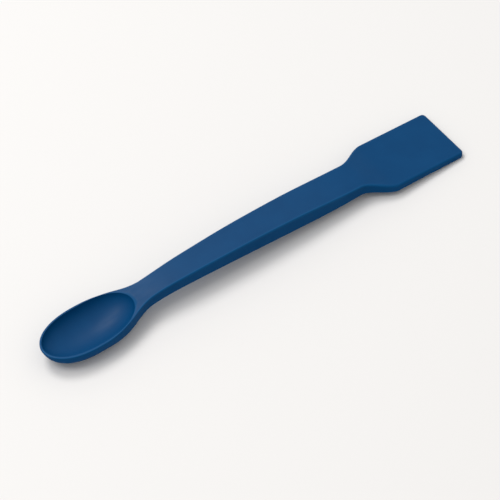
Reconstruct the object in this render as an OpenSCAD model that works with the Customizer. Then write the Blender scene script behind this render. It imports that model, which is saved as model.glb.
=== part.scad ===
// Double-ended laboratory spatula, injection moulded in one piece: an oval
// spoon at one end, a flat blade at the other and an arched grip between.
// The moulding is drawn as five regions that meet face to face at flat
// cuts square to X: spoon_bowl, neck, handle, shoulder and blade.
//
// X runs from the spoon's tip to the blade's edge, Y across the tool and
// +Z up. The origin is on the table, under the middle of the tool. The
// tool rests on the bottom of the spoon and on the blade's lower edge.

/* [Overall] */
// Length over all, from the spoon's tip to the blade's edge
tool_length = 178; // [176:1:188]

/* [Spoon bowl] */
// Length of the bowl's oval, which runs out just before the neck
bowl_length = 40.4; // [38:0.2:43]
// Width of the bowl over its rim
bowl_width = 20.2; // [18:0.2:24]
// Height of the rim above the table, at the middle of the bowl
rim_height = 8.1; // [7:0.1:10]
// Width of the flat rim at the tip and the sides of the hollow
rim_width = 0.7; // [0.5:0.1:1]
// Wall under the middle of the hollow
bowl_wall = 1.8; // [1.4:0.1:2.4]

/* [Neck and handle] */
// Width at the neck, the narrowest place
neck_width = 8.8; // [8:0.1:10]
// Thickness at the neck
neck_thick = 5.1; // [4:0.1:5.5]
// Width of the handle where it meets the shoulder
handle_width = 12.8; // [11:0.1:14]
// Thickness of the handle at its thickest
handle_thick = 7; // [6:0.1:7.5]
// Height of the top face at the crest of the arch
crest_height = 11.8; // [11:0.1:13]

/* [Blade] */
// Width of the blade
blade_width = 24.1; // [20:0.1:26]
// Length of the blade's parallel part
blade_length = 30; // [28:1:32]
// Thickness where the blade meets the shoulder
blade_root_thick = 3.4; // [2.8:0.1:4]
// Thickness at the blade's edge
blade_edge_thick = 2.8; // [2:0.1:3]
// Fall of the blade's top face for each millimetre towards the edge
blade_slope = 0.08; // [0.07:0.005:0.1]
// Radius of the blade's two corners, seen from above
corner_radius = 1.6; // [1:0.1:3]

/* [Hidden] */
plastic_colour = [0.05, 0.29, 0.49];

// Places along the tool, measured from the spoon's tip
bowl_middle = 0.465 * bowl_length;
neck_start = bowl_length + 3.6;
neck_length = 16;
handle_start = neck_start + neck_length;
blade_start = tool_length - blade_length;
shoulder_length = 14;
shoulder_start = blade_start - shoulder_length;
crest_place = handle_start + 12;
belly_place = handle_start + 44;

// Heights of the top face at the tip, the ends of the neck and the blade's root
tip_height = rim_height - 0.17;
neck_height = crest_height - 1.38;
belly_height = crest_height - 0.95;
shoulder_height = crest_height - 3.7;
blade_height = blade_edge_thick + blade_slope * blade_length;

// Thickness under the bowl's end, at the crest of the arch and at the shoulder
bowl_end = bowl_middle + 13.2;
bowl_end_thick = rim_height - 1;
crest_thick = neck_thick + 1.1;
shoulder_thick = handle_thick - 1.8;
// Half widths on the way from the bowl to the neck, as shares of the bowl's, and of the
// handle: where the bowl starts to close, where it runs out, and either end of the grip
bowl_closing = bowl_middle + 9.2;
closing_share = 0.888;
bowl_running_out = neck_start - 9;
running_out_share = 0.655;
grip_start_rise = 0.53;
grip_middle = handle_start + 28;
grip_middle_share = 0.9;

// Power of the bowl's oval towards the tip: 2 is an ellipse's
tip_power = 2.35;
// The same for the hollow, which is blunt at the neck and stops short of it
hollow_root_power = 2.5;
hollow_root = bowl_end + 5.5;
// Power of the hollow's fall from its lip: 0.5 is an ellipse's
hollow_power = 0.6;

// How full a section's underside is: 2 is an ellipse, 12 a bar with round lower edges
bowl_fullness = 2.6;
bar_fullness = 12;
blade_fullness = 32;
// Share of a section's side that stands upright, at the bowl and at the bar
bowl_upright = 0.07;
bar_upright = 0.53;
// Least depth of the upright outer edge of the rim
rim_edge = 0.5;

// Steps of the meshes, and the first step in from the rim, which is short of a whole one
half_points = 7;
bowl_side_steps = 20;
hollow_rings = 8;
underside_rings = 9;
first_ring = 0.6;
halvings = 22;
corner_facets = 48;
bar_step = 2.6;

// 0 before a, 1 after b, and a smooth rise between
function smooth(s, a, b) =
    let (u = min(1, max(0, (s - a) / (b - a))))
    u * u * (3 - 2 * u);

// A cubic through the ends [place, value, slope] of one stretch
function cubic(s, p, q) =
    let (h = q[0] - p[0], t = (s - p[0]) / h)
    (2 * t ^ 3 - 3 * t ^ 2 + 1) * p[1] + (t ^ 3 - 2 * t ^ 2 + t) * h * p[2]
    + (3 * t ^ 2 - 2 * t ^ 3) * q[1] + (t ^ 3 - t ^ 2) * h * q[2];

// A smooth line through knots [place, value, slope], the i-th stretch or a later one
function along(s, knots, i = 0) =
    s <= knots[i + 1][0] || i + 2 == len(knots)
    ? cubic(s, knots[i], knots[i + 1]) : along(s, knots, i + 1);

// Height of the top face above the table
TOP = [
    [0, tip_height, -0.025],
    [bowl_middle, rim_height, 0],
    [neck_start, neck_height, 0.147],
    [crest_place, crest_height, 0.01],
    [belly_place, belly_height, -0.06],
    [shoulder_start, shoulder_height, -0.06],
    [blade_start, blade_height, -blade_slope],
    [tool_length, blade_edge_thick, -blade_slope],
];
function top(s) = along(s, TOP);

// Share of the bowl's half width and depth at s, between the tip and the middle
function oval(s) = sqrt(max(0, 1 - abs((bowl_middle - s) / bowl_middle) ^ tip_power));

// Greatest thickness of the section at s
THICK = [
    [bowl_middle, rim_height, 0],
    [bowl_end, bowl_end_thick, -0.2],
    [neck_start, neck_thick, 0.03],
    [crest_place, crest_thick, 0.04],
    [belly_place, handle_thick, 0],
    [shoulder_start, shoulder_thick, -0.1],
    [blade_start, blade_root_thick, -0.05],
];
function depth(s) = s < bowl_middle ? rim_height * oval(s) : along(s, THICK);

// Half the width of the outline at s
WIDTH = [
    [bowl_middle, bowl_width / 2, 0],
    [bowl_closing, closing_share * bowl_width / 2, -0.27],
    [bowl_running_out, running_out_share * bowl_width / 2, -0.42],
    [neck_start, neck_width / 2, -0.01],
    [handle_start, neck_width / 2 + grip_start_rise, 0.032],
    [grip_middle, grip_middle_share * handle_width / 2, 0.018],
    [shoulder_start, handle_width / 2, 0],
];
function half_width(s) =
    s < bowl_middle ? bowl_width / 2 * oval(s)
    : s < shoulder_start ? along(s, WIDTH)
    : handle_width / 2
      + (blade_width - handle_width) / 2 * smooth(s, shoulder_start, blade_start);

// How far the bowl's round section has squared up towards the neck: 0 to 1
function squared(s) =
    min(1, max(0, (s - bowl_middle) / (neck_start - bowl_middle))) ^ 2;

function fullness(s) =
    bowl_fullness + (bar_fullness - bowl_fullness) * squared(s)
    + (blade_fullness - bar_fullness) * smooth(s, shoulder_start, blade_start);

// How far below the top face the underside is at place s and distance y from the middle
function underside(s, y) =
    let (w = max(half_width(s), 0.001), n = fullness(s),
         upright = bowl_upright + (bar_upright - bowl_upright) * squared(s))
    depth(s) * (upright + (1 - upright) * max(0, 1 - min(1, abs(y) / w) ^ n) ^ (1 / n));

// Share of the half width at the points of a bar's section, from the middle to the side
function share(i) = cos(90 - 90 * i / half_points) ^ (2 / bar_fullness);

// Triangles of a skin over rings of equal length, open at its two ends
function skin_faces(rings, points) = [
    for (r = [0 : rings - 2], k = [0 : points - 1])
        let (a = r * points + k, b = r * points + (k + 1) % points)
        each [[a, a + points, b + points], [a, b + points, b]]
];

// Loop of one section of the bar, from the middle of the underside round the +Y side,
// back over the flat top and in again under the -Y side
function bar_ring(s) =
    let (w = half_width(s), n = half_points,
         under = [for (i = [1 - n : n - 1])
             let (y = w * sign(i) * share(abs(i)))
             [s, y, top(s) - underside(s, y)]])
    concat(
        [for (i = [n - 1 : 2 * n - 2]) under[i]],
        [for (i = [n : -1 : -n]) [s, w * sign(i) * share(abs(i)), top(s)]],
        [for (i = [0 : n - 2]) under[i]]
    );

// A length of the bar, from place a to place b
module bar(a, b) {
    count = ceil((b - a) / bar_step) + 1;
    points = 4 * half_points;
    vertices = [for (i = [0 : count - 1]) each bar_ring(a + (b - a) * i / (count - 1))];
    polyhedron(
        vertices,
        concat(
            skin_faces(count, points),
            [[for (k = [0 : points - 1]) k]],
            [[for (k = [points - 1 : -1 : 0]) (count - 1) * points + k]]
        )
    );
}

// Distance from the middle of the bowl to its edge, in the direction of angle q: the
// place where the ray leaves the outline is closed in on by halving
function ray_end(q, low = 0, high = bowl_length, turns = halvings) =
    turns == 0 ? (low + high) / 2
    : let (r = (low + high) / 2, s = bowl_middle + r * cos(q))
      s < neck_start && r * abs(sin(q)) < half_width(s)
      ? ray_end(q, r, high, turns - 1) : ray_end(q, low, r, turns - 1);

// Directions of the rays: one to each point of the neck's section, the rest evenly round
neck_reach = neck_start - bowl_middle;
neck_angle = atan2(half_width(neck_start), neck_reach);
half_angles = concat(
    [for (i = [0 : half_points]) atan2(half_width(neck_start) * share(i), neck_reach)],
    [for (i = [1 : bowl_side_steps]) neck_angle + (180 - neck_angle) * i / bowl_side_steps]
);
angles = concat(
    -half_angles,
    [for (i = [len(half_angles) - 2 : -1 : 1]) half_angles[i]]
);

// The hollow: an oval of its own, with the rim's width left round it. The turn of a
// place is its direction on that oval; points of one turn run straight to the middle.
hollow_depth = rim_height - bowl_wall;
hollow_half = bowl_width / 2 - rim_width;
function hollow_reach(side) = side < 0 ? bowl_middle - rim_width : hollow_root - bowl_middle;
function hollow_shape(side) = side < 0 ? tip_power : hollow_root_power;
function turn(p) =
    let (x = p[0] - bowl_middle, side = sign(x))
    atan2(p[1] / hollow_half, side * (abs(x) / hollow_reach(side)) ^ (hollow_shape(side) / 2));
function hollow_point(turn, share) =
    let (side = sign(cos(turn)),
         x = hollow_reach(side) * (share * abs(cos(turn))) ^ (2 / hollow_shape(side)),
         s = bowl_middle + side * x)
    [s, hollow_half * share * sin(turn), top(s) - hollow_depth * (1 - share ^ 2) ^ hollow_power];

// The bowl's outside: the upright edge of the rim, then the underside inwards
function outside_point(q, reach, share) =
    let (s = bowl_middle + reach * share * cos(q), y = reach * share * sin(q))
    [s, y, top(s) - max(rim_edge, underside(s, y))];
function rim_point(q, reach) =
    let (s = bowl_middle + reach * cos(q))
    [s, reach * sin(q), top(s)];

module spoon_bowl() {
    reaches = [for (q = angles) ray_end(q)];
    count = len(angles);
    rim = [for (k = [0 : count - 1]) rim_point(angles[k], reaches[k])];
    rings = concat(
        [for (r = [1 : hollow_rings])
            [for (p = rim) hollow_point(turn(p), sin(90 * r / hollow_rings))]],
        [rim],
        [for (r = [0, for (i = [first_ring : underside_rings]) i])
            [for (k = [0 : count - 1])
                outside_point(angles[k], reaches[k], cos(90 * r / underside_rings))]]
    );
    last = len(rings) * count;
    color(plastic_colour) place()
        polyhedron(
            concat([for (ring = rings) each ring], [hollow_point(0, 0), outside_point(0, 0, 0)]),
            concat(
                skin_faces(len(rings), count),
                [for (k = [0 : count - 1]) [last, k, (k + 1) % count]],
                [for (k = [0 : count - 1])
                    [last + 1, last - count + (k + 1) % count, last - count + k]]
            )
        );
}

module neck() {
    color(plastic_colour) place() bar(neck_start, handle_start);
}

module handle() {
    color(plastic_colour) place() bar(handle_start, shoulder_start);
}

module shoulder() {
    color(plastic_colour) place() bar(shoulder_start, blade_start);
}

// The blade: a wedge, cut to a square end with two round corners
module blade() {
    half = blade_width / 2;
    spare = 1;
    color(plastic_colour) place()
        intersection() {
            linear_extrude(rim_height)
                union() {
                    translate([blade_start, -half])
                        square([blade_length - corner_radius, blade_width]);
                    translate([blade_start, corner_radius - half])
                        square([blade_length, blade_width - 2 * corner_radius]);
                    for (side = [-1, 1])
                        translate([tool_length - corner_radius, side * (half - corner_radius)])
                            circle(corner_radius, $fn = corner_facets);
                }
            translate([0, half + spare, 0])
                rotate([90, 0, 0])
                    linear_extrude(blade_width + 2 * spare)
                        polygon([
                            [blade_start, blade_height],
                            [blade_start, blade_height - blade_root_thick],
                            [tool_length, 0],
                            [tool_length, blade_edge_thick],
                        ]);
        }
}

// Brings the middle of the tool over the origin
module place() {
    translate([-tool_length / 2, 0, 0]) children();
}

spoon_bowl();
neck();
handle();
shoulder();
blade();
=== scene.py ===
# %% [markdown]
# # A double-ended spoon spatula, moulded in blue plastic
# This hand tool is a spoon at one end, a flat blade at the other and an arched grip
# between. A chemist or a pharmacist scoops powder with the spoon, and scrapes,
# levels or counts with the blade. It is one injection moulding, so its looks rest on
# two things: a clean skin with true edges, and a plastic that isn't just a blue.
# The lesson loads the measured model, works the skin out from a few curves, gives it
# its material, and lights it as a small object on a white table.

# %% Tools and the measured frame
import math

import bmesh
import bpy
import numpy as np
from mathutils import Matrix, Vector


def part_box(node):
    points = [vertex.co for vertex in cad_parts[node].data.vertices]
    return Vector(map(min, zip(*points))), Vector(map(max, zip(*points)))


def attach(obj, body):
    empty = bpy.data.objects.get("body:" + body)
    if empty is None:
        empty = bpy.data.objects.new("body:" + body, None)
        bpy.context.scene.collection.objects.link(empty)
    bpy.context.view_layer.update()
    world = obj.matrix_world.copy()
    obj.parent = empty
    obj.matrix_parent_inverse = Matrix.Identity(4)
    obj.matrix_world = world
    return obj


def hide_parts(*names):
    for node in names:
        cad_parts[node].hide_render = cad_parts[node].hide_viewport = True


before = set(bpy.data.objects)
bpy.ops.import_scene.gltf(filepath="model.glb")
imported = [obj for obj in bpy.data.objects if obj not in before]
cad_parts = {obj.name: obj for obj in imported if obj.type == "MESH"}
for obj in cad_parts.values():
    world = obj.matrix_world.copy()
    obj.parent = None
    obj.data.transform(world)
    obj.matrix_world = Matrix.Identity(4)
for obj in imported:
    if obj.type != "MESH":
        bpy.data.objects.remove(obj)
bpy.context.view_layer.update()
REGIONS = ["spoon_bowl", "neck", "handle", "shoulder", "blade"]
MM = 0.001
for region in REGIONS:
    low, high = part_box(region)
    print(region, "runs from", round(low.x / MM, 1), "to", round(high.x / MM, 1), "mm")

# %% [markdown]
# ## Sizes
# The skin has to lie where the measured model is, so its stations along the tool come
# from the five regions' boxes. The other sizes are those of the design, in
# millimetres: they are what a mould maker would write on the drawing. Places along
# the tool are measured from the spoon's tip and called s.

# %% Sizes in millimetres
tip_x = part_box("spoon_bowl")[0].x / MM
neck_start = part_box("neck")[0].x / MM - tip_x
handle_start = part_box("handle")[0].x / MM - tip_x
shoulder_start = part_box("shoulder")[0].x / MM - tip_x
blade_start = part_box("blade")[0].x / MM - tip_x
tool_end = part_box("blade")[1].x / MM - tip_x
blade_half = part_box("blade")[1].y / MM
blade_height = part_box("blade")[1].z / MM

bowl_length, bowl_half = 40.4, 10.1
bowl_middle = 0.465 * bowl_length
TIP_POWER = 2.35
rim_height, rim_width = 8.1, 0.7
bowl_end = bowl_middle + 13.2
neck_half, neck_thick = 4.4, 5.1
handle_half, handle_thick = 6.4, 7.0
crest_height = 11.8
crest_place, belly_place = handle_start + 12, handle_start + 44
tip_height, neck_height = rim_height - 0.17, crest_height - 1.38
belly_height, shoulder_height = crest_height - 0.95, crest_height - 3.7
bowl_end_thick, crest_thick, shoulder_thick = rim_height - 1, neck_thick + 1.1, handle_thick - 1.8
blade_root_thick, blade_edge_thick = 3.4, 2.8
blade_slope = (blade_height - blade_edge_thick) / (tool_end - blade_start)
corner_radius = 1.6
bowl_closing, closing_share = bowl_middle + 9.2, 0.888
bowl_running_out, running_out_share = neck_start - 9, 0.655
grip_start_rise = 0.53
grip_middle, grip_middle_share = handle_start + 28, 0.9
bowl_wall = 1.8
hollow_half = bowl_half - rim_width
hollow_root = bowl_end + 5.5
hollow_depth = rim_height - bowl_wall
print("tool", round(tool_end, 1), "mm long, blade", round(2 * blade_half, 1), "mm wide")

# %% [markdown]
# ## The curves of the tool
# Seen from the side, the top face dips at the spoon, climbs over the neck, crests in
# the grip and runs down to the blade: a smooth line through a few knots, each with a
# height and a slope. Thickness is a second such line. Seen from above, the outline is
# an oval that melts into a bar, and the bar steps out to the blade's width on a soft
# S. These few curves are functions, so that every later step can ask them anything.

# %% Curves as functions of the place along the tool
def smooth(s, a, b):
    """0 before a, 1 after b, and between them 3u^2 - 2u^3, which leaves both ends level."""
    u = np.clip((s - a) / (b - a), 0, 1)
    return u * u * (3 - 2 * u)


def along(s, knots):
    """A cubic between each two knots [place, value, slope], meeting both ends' slopes."""
    place, value, slope = np.array(knots).T
    i = np.clip(np.searchsorted(place, s, side="right") - 1, 0, len(place) - 2)
    h = place[i + 1] - place[i]
    t = (s - place[i]) / h
    rise = t * t * (3 - 2 * t)
    return (
        value[i] * (1 - rise) + value[i + 1] * rise
        + h * (t * (1 - t) ** 2 * slope[i] - t * t * (1 - t) * slope[i + 1])
    )


def top(s):
    """Height of the top face above the table, a line through knots [place, height, slope]."""
    return along(s, [
        [0, tip_height, -0.025],
        [bowl_middle, rim_height, 0],
        [neck_start, neck_height, 0.147],
        [crest_place, crest_height, 0.01],
        [belly_place, belly_height, -0.06],
        [shoulder_start, shoulder_height, -0.06],
        [blade_start, blade_height, -blade_slope],
        [tool_end, blade_edge_thick, -blade_slope],
    ])


def thick(s):
    """Thickness on the middle line from the bowl's middle on, a second line of knots."""
    return along(np.maximum(s, bowl_middle), [
        [bowl_middle, rim_height, 0],
        [bowl_end, bowl_end_thick, -0.2],
        [neck_start, neck_thick, 0.03],
        [crest_place, crest_thick, 0.04],
        [belly_place, handle_thick, 0],
        [shoulder_start, shoulder_thick, -0.1],
        [blade_start, blade_root_thick, -0.05],
        [tool_end, blade_edge_thick, -0.02],
    ])


def oval(s):
    """Share of the bowl's half width from the tip to its middle: sqrt(1 - u^2.35), which
    is a little fuller than an ellipse."""
    return np.sqrt(1 - np.clip((bowl_middle - s) / bowl_middle, 0, 1) ** TIP_POWER)


def half_width(s):
    """Half the width of the outline, seen from above: the oval up to the bowl's middle, then
    a line of knots, which steps out to the blade's half width along the shoulder."""
    bar = along(np.maximum(s, bowl_middle), [
        [bowl_middle, bowl_half, 0],
        [bowl_closing, closing_share * bowl_half, -0.27],
        [bowl_running_out, running_out_share * bowl_half, -0.42],
        [neck_start, neck_half, -0.01],
        [handle_start, neck_half + grip_start_rise, 0.032],
        [grip_middle, grip_middle_share * handle_half, 0.018],
        [shoulder_start, handle_half, 0],
        [tool_end, handle_half, 0],
    ])
    step = smooth(s, shoulder_start, blade_start)
    return np.where(s < bowl_middle, bowl_half * oval(s), bar * (1 - step) + blade_half * step)


stations = np.array([0, bowl_middle, neck_start, grip_middle, shoulder_start, blade_start, tool_end])
print("half widths", half_width(stations).round(2), "top", top(stations).round(2))

# %% [markdown]
# ## Edges
# A moulding has no sharp edges, but each of its edges has its own softness: the grip's
# upper edges are crisp, the rim of the spoon is fine, and the blade's are rolled over.
# Each edge radius is a function too. Under the top face the section changes from the
# spoon's round belly to the grip's upright sides and flat underside.

# %% Edge radii and the underside
RIM_RADIUS, GRIP_RADIUS, BLADE_RADIUS = 0.3, 0.5, 0.9
rim_to_grip = neck_start - 12, neck_start + 4
grip_to_blade = shoulder_start - 4, blade_start - 2
LOWER_RADIUS, BLADE_LOWER_RADIUS = 0.8, 0.45
BOWL_FULLNESS, BAR_FULLNESS = 2.6, 12
BOWL_UPRIGHT, BAR_UPRIGHT, LEAST_UPRIGHT = 0.07, 0.53, 0.55
TINY = 1e-6


def top_radius(s):
    """Radius of the edge between the top face and the side: the rim's, with a smooth step
    to the grip's and another to the blade's."""
    return (
        RIM_RADIUS + (GRIP_RADIUS - RIM_RADIUS) * smooth(s, *rim_to_grip)
        + (BLADE_RADIUS - GRIP_RADIUS) * smooth(s, *grip_to_blade)
    )


def lower_radius(s):
    """Radius of the edge between the side and the underside, with one smooth step."""
    step = smooth(s, shoulder_start, blade_start)
    return LOWER_RADIUS + (BLADE_LOWER_RADIUS - LOWER_RADIUS) * step


def belly(s, y):
    """Depth of the outside under the top face: an upright part, and below it a section
    that is nearly an ellipse in the bowl and squares up towards the neck,
    (1 - |y / w|^n)^(1 / n)."""
    square = np.clip((s - bowl_middle) / (neck_start - bowl_middle), 0, 1) ** 2
    fullness = BOWL_FULLNESS + (BAR_FULLNESS - BOWL_FULLNESS) * square
    share = np.clip(np.abs(y) / np.maximum(half_width(s), TINY), 0, 1)
    depth = np.where(s < bowl_middle, rim_height * oval(s), thick(s))
    upright_share = BOWL_UPRIGHT + (BAR_UPRIGHT - BOWL_UPRIGHT) * square
    upright = np.maximum(upright_share * depth, LEAST_UPRIGHT)
    section = (1 - share ** fullness) ** (1 / fullness)
    return upright + np.maximum(depth - upright, 0) * section


def underside(s, y, inset):
    """Depth of the underside below the top face, where inset is the distance in from the
    outline: the belly up to the neck, and past it a flat with a quarter circle round it."""
    radius = lower_radius(s)
    lack = np.maximum(radius - inset, 0)
    bar = thick(s) - radius + np.sqrt(radius ** 2 - lack ** 2)
    share = smooth(s, neck_start, handle_start)
    return belly(s, y) * (1 - share) + bar * share

# %% [markdown]
# ## The outline as a loop
# The skin is hung on one closed loop, the outline seen from above. It runs from the
# neck along the +Y side to the blade, across the blade's end, back along the -Y side,
# and round the spoon to where it started. Steps are short where the outline bends and
# long where it is straight. At each point the outward direction is worked out from its
# two neighbours, because edges are rolled over at right angles to the outline.

# %% One loop round the tool
def unit(rows):
    """Each row as a vector of length 1."""
    return rows / np.linalg.norm(rows, axis=1, keepdims=True)


GRIP_POINTS, SHOULDER_POINTS, BLADE_POINTS, CORNER_POINTS = 96, 46, 26, 13
RUNG_POINTS, BOWL_POINTS = 33, 61
shoulder_from, shoulder_to = shoulder_start - 2, blade_start + 1
bar_places = np.concatenate([
    np.linspace(neck_start, shoulder_from, GRIP_POINTS)[:-1],
    np.linspace(shoulder_from, shoulder_to, SHOULDER_POINTS)[:-1],
    np.linspace(shoulder_to, tool_end - corner_radius, BLADE_POINTS)[:-1],
])
turn = np.linspace(0, np.pi / 2, CORNER_POINTS)
corner_places = tool_end - corner_radius * (1 - np.sin(turn))
corner_halves = blade_half - corner_radius * (1 - np.cos(turn))
side_s = np.concatenate([bar_places, corner_places])
side_w = np.concatenate([half_width(bar_places), corner_halves])

columns = np.sin(np.linspace(np.pi / 2, -np.pi / 2, RUNG_POINTS))
end_y = corner_halves[-1] * columns[1:-1]

ray = np.linspace(0, np.pi / 2, BOWL_POINTS)
tip_s = bowl_middle * (1 - np.cos(ray))
bowl_s = np.concatenate([tip_s[:-1], np.linspace(bowl_middle, neck_start, BOWL_POINTS)])
bowl_w = half_width(bowl_s)

outline = np.concatenate([
    np.stack([side_s, side_w], 1),
    np.stack([np.full_like(end_y, tool_end), end_y], 1),
    np.stack([side_s, -side_w], 1)[::-1],
    np.stack([bowl_s, -bowl_w], 1)[-2:0:-1],
    np.stack([bowl_s, bowl_w], 1)[:-1],
])
ahead = np.roll(outline, -1, 0) - outline
behind = outline - np.roll(outline, 1, 0)
heading = unit(unit(ahead) + unit(behind))
outward = np.stack([-heading[:, 1], heading[:, 0]], 1)
print(len(outline), "points in the loop, perimeter",
      round(float(np.linalg.norm(ahead, axis=1).sum()), 1), "mm")

# %% [markdown]
# ## Points, bands and patches
# The skin is sewn from pieces that share their border points. Three bands follow the
# loop all the way round: the rolled upper edge, the upright side and the rolled lower
# edge. Two kinds of patch fill the faces inside them: a ladder of cross lines along
# the bar, and rings that close on a pole in the spoon. Every piece is a grid of point
# numbers, so neighbours that use the same numbers are joined with no seam.

# %% A skin that collects points and faces
class Skin:
    """Points as rows of [s, y, z] in millimetres, and faces as rows of point numbers."""

    def __init__(self):
        self.points, self.quads, self.triangles, self.count = [], [], [], 0

    def add(self, s, y, z):
        """Adds arrays of places and returns their numbers in the same shape."""
        s, y, z = np.broadcast_arrays(s, y, z)
        self.points.append(np.stack([s, y, z], -1).reshape(-1, 3))
        numbers = self.count + np.arange(s.size).reshape(s.shape)
        self.count += s.size
        return numbers

    def fill(self, grid, closed=False):
        """Quads between the rows of a grid; closed joins the last column to the first."""
        if closed:
            grid = np.concatenate([grid, grid[:, :1]], 1)
        corners = grid[:-1, :-1], grid[:-1, 1:], grid[1:, 1:], grid[1:, :-1]
        self.quads.append(np.stack(corners, -1).reshape(-1, 4))

    def close(self, ring, pole):
        """Triangles from a closed ring to the one point in its middle."""
        self.triangles.append(np.stack([ring, np.roll(ring, -1), np.full_like(ring, pole)], -1))


skin = Skin()
loop_s, loop_y = outline.T
side_count = len(side_s)
end_count = len(end_y)

# %% [markdown]
# The rolled upper edge is a quarter circle that leaves the top face level and meets
# the side upright. An angle a runs through it: the point is in from the outline by
# r(1 - sin a) and down from the top face by r(1 - cos a).

# %% The three bands round the tool
def band(inset, drop):
    """Loops at given distances in from the outline and down from the top face."""
    s = loop_s - inset * outward[:, 0]
    y = loop_y - inset * outward[:, 1]
    return skin.add(s, y, top(s) - drop)


def band_under(inset):
    """Loops at given distances in from the outline, on the underside."""
    s = loop_s - inset * outward[:, 0]
    y = loop_y - inset * outward[:, 1]
    return skin.add(s, y, top(s) - underside(s, y, inset))


ROLL_STEPS, SIDE_STEPS, UNDER_STEPS = 8, 5, 8
radius = top_radius(loop_s)
angle = np.linspace(0, np.pi / 2, ROLL_STEPS + 1)[:, None]
upper_band = band(radius * (1 - np.sin(angle)), radius * (1 - np.cos(angle)))

lower_start = underside(loop_s, loop_y, 0)
part = np.linspace(0, 1, SIDE_STEPS + 1)[1:-1, None]
side_band = band(0 * part, radius + (lower_start - radius) * part)

angle = np.linspace(0, np.pi / 2, UNDER_STEPS + 1)[:, None]
lower_band = band_under(lower_radius(loop_s) * (1 - np.cos(angle)))
skin.fill(np.concatenate([upper_band, side_band, lower_band]), closed=True)
print("sides from", round(float((lower_start - radius).min()), 2), "to",
      round(float((lower_start - radius).max()), 2), "mm high")

# %% [markdown]
# The ladder lies between the two long sides. Each rung joins a point of the inner loop
# to its mirror image, and its points crowd towards the ends, so that the flat face
# shades flat right up to the edge. The last rung is the inner loop's own end.

# %% The ladder along the bar, above and below
def ladder(inner, height):
    """Rungs between the sides of an inner loop; height gives z for places s, y."""
    points = np.concatenate(skin.points)
    plus = inner[:side_count]
    minus = inner[side_count + end_count:2 * side_count + end_count][::-1]
    s = points[plus, 0][:, None] + 0 * columns[1:-1]
    y = points[plus, 1][:, None] * columns[1:-1]
    grid = np.concatenate([plus[:, None], skin.add(s, y, height(s, y)), minus[:, None]], 1)
    grid[-1, 1:-1] = inner[side_count:side_count + end_count]
    return grid


WELL_IN = 99.0  # an inset that is past every edge radius
upper_ladder = ladder(upper_band[0], lambda s, y: top(s))
lower_ladder = ladder(lower_band[-1], lambda s, y: top(s) - underside(s, y, WELL_IN))
skin.fill(upper_ladder)
skin.fill(lower_ladder[:, ::-1])
print(upper_ladder.shape[0], "rungs of", upper_ladder.shape[1], "points")

# %% [markdown]
# ## The spoon's hollow
# The hollow is an oval of its own inside the rim. It is blunter than the bowl at the
# neck, where it stops short and leaves a flat the neck runs into. Its depth falls
# steeply from the lip and levels out at the bottom, as D (1 - e^2)^p does, where e is 0
# in the middle and 1 at the lip. The lip itself is rounded over: a depth d is replaced
# by sqrt(d^2 + r^2) - r, which changes little deep down and is soft near zero.

# %% Depth of the hollow
HOLLOW_POWER, LIP = 0.6, 0.2
ROOT_POWER = 2.5


def hollow_side(s):
    """Reach and shape power of the hollow, which differ on the tip's and the neck's side."""
    tip = s < bowl_middle
    reach = np.where(tip, bowl_middle - rim_width, hollow_root - bowl_middle)
    return reach, np.where(tip, TIP_POWER, ROOT_POWER)


def hollow(s, y):
    """Depth of the hollow below the top face, D (1 - e^2)^p with a soft lip, and 0 outside."""
    reach, shape = hollow_side(s)
    e2 = (np.abs(s - bowl_middle) / reach) ** shape + (y / hollow_half) ** 2
    depth = (hollow_depth + LIP) * np.clip(1 - e2, 0, 1) ** HOLLOW_POWER
    return np.sqrt(depth ** 2 + LIP ** 2) - LIP


def hollow_place(turn, e):
    """Place on the level line e of the hollow, in the direction turn on its oval: along the
    tool by reach (e |cos turn|)^(2 / shape), and across it by half e sin turn."""
    side = np.sign(np.cos(turn))
    reach, shape = hollow_side(bowl_middle + side)
    s = bowl_middle + side * reach * (e * np.abs(np.cos(turn))) ** (2 / shape)
    return s, hollow_half * e * np.sin(turn)


print("deepest", round(float(hollow(bowl_middle, 0.0)), 2), "mm")

# %% [markdown]
# The rings of the spoon start on the border that the bands and the first rung give.
# Above, they cross the flat rim to the lip and then sink into the hollow, crowded at
# the lip where the shape turns fastest. Below, they shrink to the belly's lowest point.

# %% Rings of the spoon, above and below
def border(inner, grid):
    """The closed ring round the spoon: the first rung, then the loop round the tip."""
    return np.concatenate([grid[0], inner[2 * side_count + end_count:]])


ring = border(upper_band[0], upper_ladder)
edge_s, edge_y, _ = np.concatenate(skin.points)[ring].T
side = np.sign(edge_s - bowl_middle)
reach, shape = hollow_side(edge_s)
along_oval = side * (np.abs(edge_s - bowl_middle) / reach) ** (shape / 2)
toward = np.arctan2(edge_y / hollow_half, along_oval)

RIM_STEPS, HOLLOW_RINGS = 4, 46
lip_s, lip_y = hollow_place(toward, 1.0)
part = np.linspace(0, 1, RIM_STEPS + 1)[1:, None]
rim_s, rim_y = edge_s + (lip_s - edge_s) * part, edge_y + (lip_y - edge_y) * part
rim = skin.add(rim_s, rim_y, top(rim_s))
e = np.sin(np.linspace(np.pi / 2, 0, HOLLOW_RINGS + 1))[1:-1, None]
deep_s, deep_y = hollow_place(toward, e)
deep = skin.add(deep_s, deep_y, top(deep_s) - hollow(deep_s, deep_y))
middle = np.array([bowl_middle]), np.array([0.0])
bottom = skin.add(*middle, top(middle[0]) - hollow(*middle))
skin.fill(np.concatenate([ring[None], rim, deep])[::-1], closed=True)
skin.close(deep[-1][::-1], bottom[0])

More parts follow.
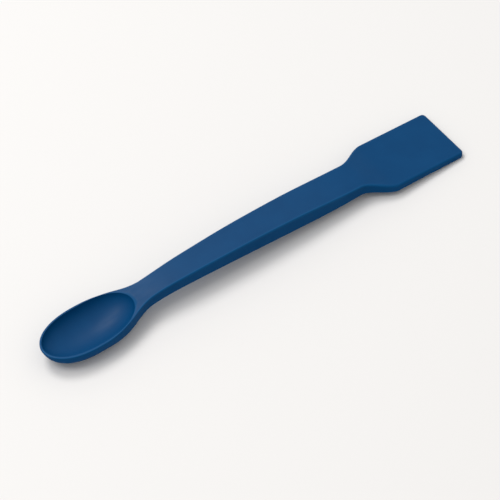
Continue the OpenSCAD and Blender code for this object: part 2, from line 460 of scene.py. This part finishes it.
ring = border(lower_band[-1], lower_ladder)
edge_s, edge_y, _ = np.concatenate(skin.points)[ring].T
BELLY_RINGS = 34
part = np.cos(np.linspace(0, np.pi / 2, BELLY_RINGS + 1))[1:-1, None]
under_s, under_y = bowl_middle + (edge_s - bowl_middle) * part, edge_y * part
under = skin.add(under_s, under_y, top(under_s) - underside(under_s, under_y, WELL_IN))
lowest = skin.add(*middle, top(middle[0]) - underside(*middle, WELL_IN))
skin.fill(np.concatenate([ring[None], under]), closed=True)
skin.close(under[-1], lowest[0])

# %% [markdown]
# ## The mesh
# The points and faces go into one mesh, in metres, in the measured model's frame. The
# real tool is one shot of plastic, so it is one skin with no joint lines; it stands
# for the five regions of the measured model. The cell counts edges that don't have
# exactly two faces and works out the volume, which is negative if a skin is inside out.

# %% One skin in metres
def mesh_object(name, skin):
    """A smooth-shaded object at the origin from a skin's points and faces."""
    points = np.concatenate(skin.points)
    points[:, 0] += tip_x
    faces = [row.tolist() for rows in skin.quads + skin.triangles for row in rows]
    mesh = bpy.data.meshes.new(name)
    mesh.from_pydata((points * MM).tolist(), [], faces)
    mesh.validate()
    mesh.update()
    mesh.polygons.foreach_set("use_smooth", np.ones(len(mesh.polygons), bool))
    obj = bpy.data.objects.new(name, mesh)
    bpy.context.scene.collection.objects.link(obj)
    return obj


CM3 = 1e-6


def soundness(obj):
    """Edges that don't have exactly two faces, and the volume in cubic centimetres."""
    shape = bmesh.new()
    shape.from_mesh(obj.data)
    odd = sum(len(edge.link_faces) != 2 for edge in shape.edges)
    volume = shape.calc_volume(signed=True) / CM3
    shape.free()
    return odd, volume


moulding = mesh_object("spatula_moulding", skin)
odd_edges, volume = soundness(moulding)
print(len(moulding.data.polygons), "faces,", odd_edges, "odd edges,", round(volume, 2), "cm3")

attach(moulding, "root")
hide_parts(*REGIONS)

# %% [markdown]
# ## The plastic
# The tool is moulded from polypropylene that is coloured right through. A deep blue
# pigment soaks up nearly all red, so the body colour has almost none, and what looks
# lighter on the tool is sheen, apart from the edges. The mould is finely blasted, which
# gives a matte skin with a grain of a few tenths of a millimetre; handling and scraping
# polish it in soft streaks, seen best where the spoon's wall turns to the light. Edges
# are painted a shade paler: a painted highlight for the light their rounding catches,
# together with some wear. Every pattern is worked out from the place on the tool, so it
# has no seam and stays with it when it moves.

# %% Where the edges are
def edge_share(obj, radius):
    """For each point 1 on a turn as tight as the radius and 0 on a flat, found from how
    fast the surface's normal turns along the mesh edges that meet at the point."""
    mesh = obj.data
    count = len(mesh.vertices)
    place, normal = np.empty((count, 3)), np.empty((count, 3))
    mesh.vertices.foreach_get("co", place.ravel())
    mesh.vertices.foreach_get("normal", normal.ravel())
    ends = np.empty((len(mesh.edges), 2), int)
    mesh.edges.foreach_get("vertices", ends.ravel())
    step = place[ends[:, 1]] - place[ends[:, 0]]
    bend = ((normal[ends[:, 1]] - normal[ends[:, 0]]) * step).sum(1) / (step ** 2).sum(1)
    most = np.zeros(count)
    np.maximum.at(most, ends.ravel(), np.repeat(bend, 2))
    return np.clip(most * radius, 0, 1)


# The edge share says where the paler blue is painted on: a painted highlight on the edges, together
# with some wear.
edge = edge_share(moulding, GRIP_RADIUS * MM)
moulding.data.attributes.new("edge", "FLOAT", "POINT").data.foreach_set("value", edge)
print("points on an edge:", int((edge > 0.5).sum()), "of", len(edge))

# %% [markdown]
# Use polishes such a tool unevenly. Palm and powder rub the upper faces of the grip and
# the spoon's floor to a soft sheen; upright sides and walls stay as matte as the mould
# left them, and scraping keeps the blade dull. So how polished a point is follows from
# how far its face looks up and from its place along the tool, and it is kept as a second
# number on the points.

# %% How polished each point is
LEAST_RISE, BLADE_LOSS = 0.45, 0.45


def polish_share(obj):
    """0 on sides and walls, 1 on faces that look up: a smooth step on the normal's z, and
    nearly halved between the grip's end and the blade."""
    mesh = obj.data
    place, normal = np.empty((2, len(mesh.vertices), 3))
    mesh.vertices.foreach_get("co", place.ravel())
    mesh.vertices.foreach_get("normal", normal.ravel())
    s = place[:, 0] / MM - tip_x
    looks_up = smooth(normal[:, 2], LEAST_RISE, 1)
    return looks_up * (1 - BLADE_LOSS * smooth(s, belly_place, blade_start))


polish = polish_share(moulding)
moulding.data.attributes.new("polish", "FLOAT", "POINT").data.foreach_set("value", polish)
print("mean polish", round(float(polish.mean()), 2))

# %% [markdown]
# The material is one Principled shader. Its colour is a cloudy mix of two blues that are
# hardly apart, which gives the slight unevenness of a pigmented moulding, and a paler blue
# painted on the edges as a painted highlight, together with some wear. The sheen comes from
# two sockets: a noise stretched along the tool moves the roughness, and the polish number
# moves the specular level, which stays far below the usual 0.5 because a blasted skin
# scatters most of what it mirrors. A third, fine noise goes through a bump as the grain. Each
# value that is the same all over is set on its socket. One thing doesn't travel: a specular
# level that follows a pattern is left out of an exported model, which then looks shinier
# than the render does.

# %% Material: matte blue plastic
BODY = (0.0018, 0.0540, 0.1600, 1)
# The paler blue is painted on the edges: a painted highlight for the light their rounding catches,
# together with some wear.
PALE_EDGE_HIGHLIGHT_AND_WEAR = (0.0060, 0.0860, 0.2250, 1)
DEEP = (0.0014, 0.0490, 0.1480, 1)
EDGE_HIGHLIGHT_AND_WEAR_SHARE = 0.6
CLOUD_SCALE, STREAK_SCALE, GRAIN_SCALE = 90, 420, 3200
STREAK_STRETCH = (0.35, 1.6, 1)
STREAK_ROUGHNESS = 0.40, 0.52
POLISH_LEVELS = 0.02, 0.17


def blue_plastic():
    """A pigmented body under a rough, uneven, faintly grained surface."""
    material = bpy.data.materials.new("blue_plastic")
    material.use_nodes = True
    nodes, links = material.node_tree.nodes, material.node_tree.links
    shader = nodes["Principled BSDF"]
    shader.inputs["IOR"].default_value = 1.49

    def node(kind, **values):
        """A new node with values for its inputs, an underscore standing for a space."""
        made = nodes.new(kind)
        for name, value in values.items():
            made.inputs[name.replace("_", " ")].default_value = value
        return made

    def pattern(scale, detail, stretch=(1, 1, 1)):
        """A noise over the tool's own coordinates, in lumps of 1 / scale metres."""
        spread_out = node("ShaderNodeMapping", Scale=stretch)
        noise = node("ShaderNodeTexNoise", Scale=scale, Detail=detail, Roughness=0.55)
        links.new(place.outputs["Object"], spread_out.inputs["Vector"])
        links.new(spread_out.outputs["Vector"], noise.inputs["Vector"])
        return noise.outputs["Fac"]

    def between(value, low, high, to_low, to_high):
        """The value stretched from one range to another, and held at its ends."""
        made = node("ShaderNodeMapRange", From_Min=low, From_Max=high,
                    To_Min=to_low, To_Max=to_high)
        links.new(value, made.inputs["Value"])
        return made.outputs["Result"]

    def mix(factor, a, b):
        """The colour (1 - factor) a + factor b, where b and a are colours or sockets."""
        made = nodes.new("ShaderNodeMix")
        made.data_type = "RGBA"
        links.new(factor, made.inputs["Factor"])
        for socket, colour in zip([s for s in made.inputs if s.type == "RGBA"], (a, b)):
            if isinstance(colour, tuple):
                socket.default_value = colour
            else:
                links.new(colour, socket)
        return [s for s in made.outputs if s.type == "RGBA"][0]

    def kept_number(name):
        """A number kept on the mesh's points."""
        made = nodes.new("ShaderNodeAttribute")
        made.attribute_name = name
        return made.outputs["Fac"]

    place = nodes.new("ShaderNodeTexCoord")
    clouds = pattern(CLOUD_SCALE, 3)
    colour = mix(between(clouds, 0.35, 0.65, 0, 1), DEEP, BODY)
    # Painted highlight: the edges get the paler blue, standing in for the light their rounding
    # catches, together with some wear.
    colour = mix(between(kept_number("edge"), 0.3, 1, 0, EDGE_HIGHLIGHT_AND_WEAR_SHARE), colour, PALE_EDGE_HIGHLIGHT_AND_WEAR)
    links.new(colour, shader.inputs["Base Color"])

    streaks = pattern(STREAK_SCALE, 4, stretch=STREAK_STRETCH)
    links.new(between(streaks, 0.3, 0.7, *STREAK_ROUGHNESS), shader.inputs["Roughness"])
    sheen = between(kept_number("polish"), 0, 1, *POLISH_LEVELS)
    links.new(sheen, shader.inputs["Specular IOR Level"])

    grain = node("ShaderNodeBump", Strength=0.12, Distance=0.00006)
    links.new(pattern(GRAIN_SCALE, 2), grain.inputs["Height"])
    links.new(grain.outputs["Normal"], shader.inputs["Normal"])
    return material


moulding.data.materials.append(blue_plastic())

# %% [markdown]
# ## The table
# A small tool is judged by how it meets the table, so the floor has to take a clean soft
# shadow and nothing else. It could be a curved backdrop; a plain plane that runs out of
# sight does the same here. It is matte, with no sheen at all, and a little under white:
# at full white the lit part would burn out and the shadow's faint end would be lost.

# %% The table
def table(reach, colour):
    """A square plane at height 0, with a matte white material that has no sheen."""
    mesh = bpy.data.meshes.new("table")
    corners = [(-1, -1), (1, -1), (1, 1), (-1, 1)]
    places = [(reach * x, reach * y, 0) for x, y in corners]
    mesh.from_pydata(places, [], [range(len(corners))])
    obj = bpy.data.objects.new("table", mesh)
    bpy.context.scene.collection.objects.link(obj)
    material = bpy.data.materials.new("white_table")
    material.use_nodes = True
    shader = material.node_tree.nodes["Principled BSDF"]
    shader.inputs["Base Color"].default_value = colour
    shader.inputs["Roughness"].default_value = 0.9
    shader.inputs["Specular IOR Level"].default_value = 0.0
    mesh.materials.append(material)
    return obj


floor = table(reach=3.0, colour=(0.805, 0.79, 0.775, 1))
print("table of", round(floor.dimensions.x, 1), "m by", round(floor.dimensions.y, 1), "m")

# %% [markdown]
# ## Light
# The look is a tool in a light tent: most of the light comes evenly from everywhere and
# fills the shadows to a pale grey. Two soft lights do the rest, one behind the tool and
# one off the spoon's end, both well above it. They lay the sheen on the neck and draw the
# shadow along the near side of the grip. They are discs of well over half a metre: next
# to a tool of 18 cm that gives a shadow which is firm where the tool is low and melts
# where it is high.

# %% Light
world = bpy.data.worlds.new("studio")
world.use_nodes = True
background = world.node_tree.nodes["Background"]
background.inputs["Color"].default_value = (1, 1, 1, 1)
background.inputs["Strength"].default_value = 0.58
bpy.context.scene.world = world
bpy.context.scene.view_settings.view_transform = "Standard"


def direction(azimuth, elevation):
    """Unit vector towards a place at an azimuth from -Y towards +X and an elevation."""
    a, e = math.radians(azimuth), math.radians(elevation)
    return Vector((math.sin(a) * math.cos(e), -math.cos(a) * math.cos(e), math.sin(e)))


def aimed(place, target, upward=Vector((0, 0, 1))):
    """Matrix of a camera or light at place that looks at target: its back points away from
    the target, its right is upward x back, and its top is back x right."""
    back = (place - target).normalized()
    right = upward.cross(back).normalized()
    turn = Matrix((right, back.cross(right), back)).transposed()
    return Matrix.Translation(place) @ turn.to_4x4()


def soft_light(name, azimuth, elevation, distance, size, watts):
    """A round light of a size in metres, aimed at the middle of the tool."""
    light = bpy.data.lights.new(name, "AREA")
    light.shape = "DISK"
    light.size = size
    light.energy = watts
    obj = bpy.data.objects.new(name, light)
    bpy.context.scene.collection.objects.link(obj)
    obj.matrix_world = aimed(distance * direction(azimuth, elevation), Vector())
    return obj


soft_light("key", azimuth=192, elevation=63, distance=1.6, size=0.7, watts=10)
soft_light("side", azimuth=252, elevation=60, distance=1.6, size=0.8, watts=8)
lamps = [obj for obj in bpy.context.scene.objects if obj.type == "LIGHT"]
print(len(lamps), "lights,", sum(obj.data.energy for obj in lamps), "W in all")

# %% [markdown]
# ## Camera
# The tool is seen from the front left and from well above, with the spoon nearest. From
# a metre away with a long lens the two ends keep nearly the same scale, which is what
# gives such a picture its calm; a short lens close by would swell the spoon.

# %% Camera
VIEW_AZIMUTH, VIEW_ELEVATION = -36.55, 50.54
VIEW_DISTANCE = 1.0
SENSOR_WIDTH, LENS = 36, 201
target = Vector((-0.00076, -0.00084, 0))
camera = bpy.data.cameras.new("camera")
camera.sensor_width = SENSOR_WIDTH
camera.lens = LENS
camera_object = bpy.data.objects.new("camera", camera)
bpy.context.scene.collection.objects.link(camera_object)
viewpoint = target + VIEW_DISTANCE * direction(VIEW_AZIMUTH, VIEW_ELEVATION)
camera_object.matrix_world = aimed(viewpoint, target)
bpy.context.scene.camera = camera_object

print("view", round(math.degrees(camera.angle), 1), "degrees wide")
